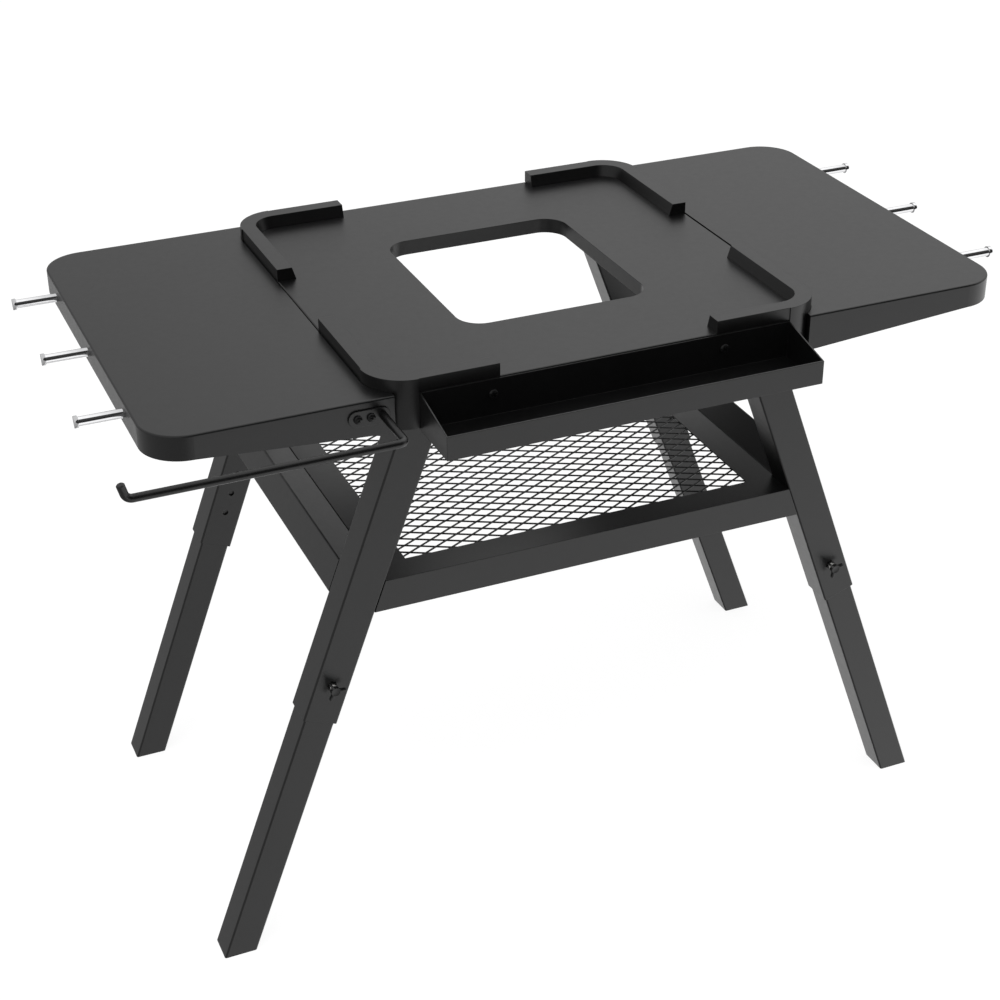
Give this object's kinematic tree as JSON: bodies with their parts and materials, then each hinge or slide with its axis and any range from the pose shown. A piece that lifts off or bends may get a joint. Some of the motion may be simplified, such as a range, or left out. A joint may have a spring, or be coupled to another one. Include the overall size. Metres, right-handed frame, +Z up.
{
  "type": "grill stand",
  "caption": "Grill stand: black steel deck with a rounded cut-out and corner guards, side shelves, front tray, towel rod, splayed adjustable legs and a mesh shelf.",
  "frame": {"origin": "centre of the bounding box on the floor", "axes": "+X to the right seen from the front, along the two side shelves; +Y from the front tray to the rear; +Z up"},
  "size_m": [1.0744, 0.5734, 0.696],
  "materials": {
    "black_powder_coat": "fine satin black powder coat",
    "coated_mesh": "satin black powder coat on expanded steel mesh",
    "black_hardware": "black oxide, slightly glossy",
    "chrome_peg": "bright chrome plate",
    "zinc_steel": "zinc plated",
    "spring_steel": "bare spring steel",
    "black_plastic": "fine moulded texture"
  },
  "bodies": {
    "root": {"deck": "black_powder_coat", "guard_front_left": "black_powder_coat", "guard_front_right": "black_powder_coat", "guard_rear_left": "black_powder_coat", "guard_rear_right": "black_powder_coat", "front_tray": "black_powder_coat", "tray_screws": "black_hardware", "tray_nuts": "zinc_steel", "side_shelf_left": "black_powder_coat", "side_shelf_right": "black_powder_coat", "shelf_bolts": "zinc_steel", "shelf_nuts": "zinc_steel", "pegs_left": "chrome_peg", "pegs_right": "chrome_peg", "peg_screws": "zinc_steel", "towel_plate": "black_powder_coat", "towel_rod": "black_powder_coat", "towel_screws": "black_hardware", "towel_nuts": "zinc_steel", "upper_leg_front_left": "black_powder_coat", "upper_leg_front_right": "black_powder_coat", "upper_leg_rear_left": "black_powder_coat", "upper_leg_rear_right": "black_powder_coat", "leg_plate_front_left": "black_powder_coat", "leg_plate_front_right": "black_powder_coat", "leg_plate_rear_left": "black_powder_coat", "leg_plate_rear_right": "black_powder_coat", "deck_studs": "zinc_steel", "deck_nuts": "zinc_steel", "side_rail_left": "black_powder_coat", "side_rail_right": "black_powder_coat", "shelf_frame": "black_powder_coat", "shelf_mesh": "coated_mesh", "shelf_frame_screws": "black_hardware", "clamp_nuts": "black_hardware"},
    "leg_front_left": {"lower_leg_front_left": "black_powder_coat", "foot_plug_front_left": "black_plastic", "leaf_spring_front_left": "spring_steel"},
    "button_front_left": {"snap_button_front_left": "black_hardware"},
    "clamp_front_left": {"clamp_stud_front_left": "zinc_steel", "clamp_knob_front_left": "black_plastic"},
    "leg_front_right": {"lower_leg_front_right": "black_powder_coat", "foot_plug_front_right": "black_plastic", "leaf_spring_front_right": "spring_steel"},
    "button_front_right": {"snap_button_front_right": "black_hardware"},
    "clamp_front_right": {"clamp_stud_front_right": "zinc_steel", "clamp_knob_front_right": "black_plastic"},
    "leg_rear_left": {"lower_leg_rear_left": "black_powder_coat", "foot_plug_rear_left": "black_plastic", "leaf_spring_rear_left": "spring_steel"},
    "button_rear_left": {"snap_button_rear_left": "black_hardware"},
    "clamp_rear_left": {"clamp_stud_rear_left": "zinc_steel", "clamp_knob_rear_left": "black_plastic"},
    "leg_rear_right": {"lower_leg_rear_right": "black_powder_coat", "foot_plug_rear_right": "black_plastic", "leaf_spring_rear_right": "spring_steel"},
    "button_rear_right": {"snap_button_rear_right": "black_hardware"},
    "clamp_rear_right": {"clamp_stud_rear_right": "zinc_steel", "clamp_knob_rear_right": "black_plastic"}
  },
  "joints": [
    {"name": "leg_slide_front_left", "type": "slide", "parent": "root", "child": "leg_front_left", "axis": [-0.3509, 0, -0.9364], "range_m": [0, 0.054]},
    {"name": "leg_slide_front_right", "type": "slide", "parent": "root", "child": "leg_front_right", "axis": [0.3509, 0, -0.9364], "range_m": [0, 0.054]},
    {"name": "leg_slide_rear_left", "type": "slide", "parent": "root", "child": "leg_rear_left", "axis": [-0.3509, 0, -0.9364], "range_m": [0, 0.054]},
    {"name": "leg_slide_rear_right", "type": "slide", "parent": "root", "child": "leg_rear_right", "axis": [0.3509, 0, -0.9364], "range_m": [0, 0.054]},
    {"name": "button_push_front_left", "type": "slide", "parent": "leg_front_left", "child": "button_front_left", "axis": [0, 1, 0], "range_m": [0, 0.005]},
    {"name": "button_push_front_right", "type": "slide", "parent": "leg_front_right", "child": "button_front_right", "axis": [0, 1, 0], "range_m": [0, 0.005]},
    {"name": "button_push_rear_left", "type": "slide", "parent": "leg_rear_left", "child": "button_rear_left", "axis": [0, -1, 0], "range_m": [0, 0.005]},
    {"name": "button_push_rear_right", "type": "slide", "parent": "leg_rear_right", "child": "button_rear_right", "axis": [0, -1, 0], "range_m": [0, 0.005]},
    {"name": "clamp_turn_front_left", "type": "hinge", "parent": "root", "child": "clamp_front_left", "pos_m": [-0.3104, -0.1864, 0.33618], "axis": [0, -1, 0], "range_deg": [0, 540]},
    {"name": "clamp_turn_front_right", "type": "hinge", "parent": "root", "child": "clamp_front_right", "pos_m": [0.3104, -0.1864, 0.33618], "axis": [0, -1, 0], "range_deg": [0, 540]},
    {"name": "clamp_turn_rear_left", "type": "hinge", "parent": "root", "child": "clamp_rear_left", "pos_m": [-0.3104, 0.2632, 0.33618], "axis": [0, 1, 0], "range_deg": [0, 540]},
    {"name": "clamp_turn_rear_right", "type": "hinge", "parent": "root", "child": "clamp_rear_right", "pos_m": [0.3104, 0.2632, 0.33618], "axis": [0, 1, 0], "range_deg": [0, 540]}
  ]
}
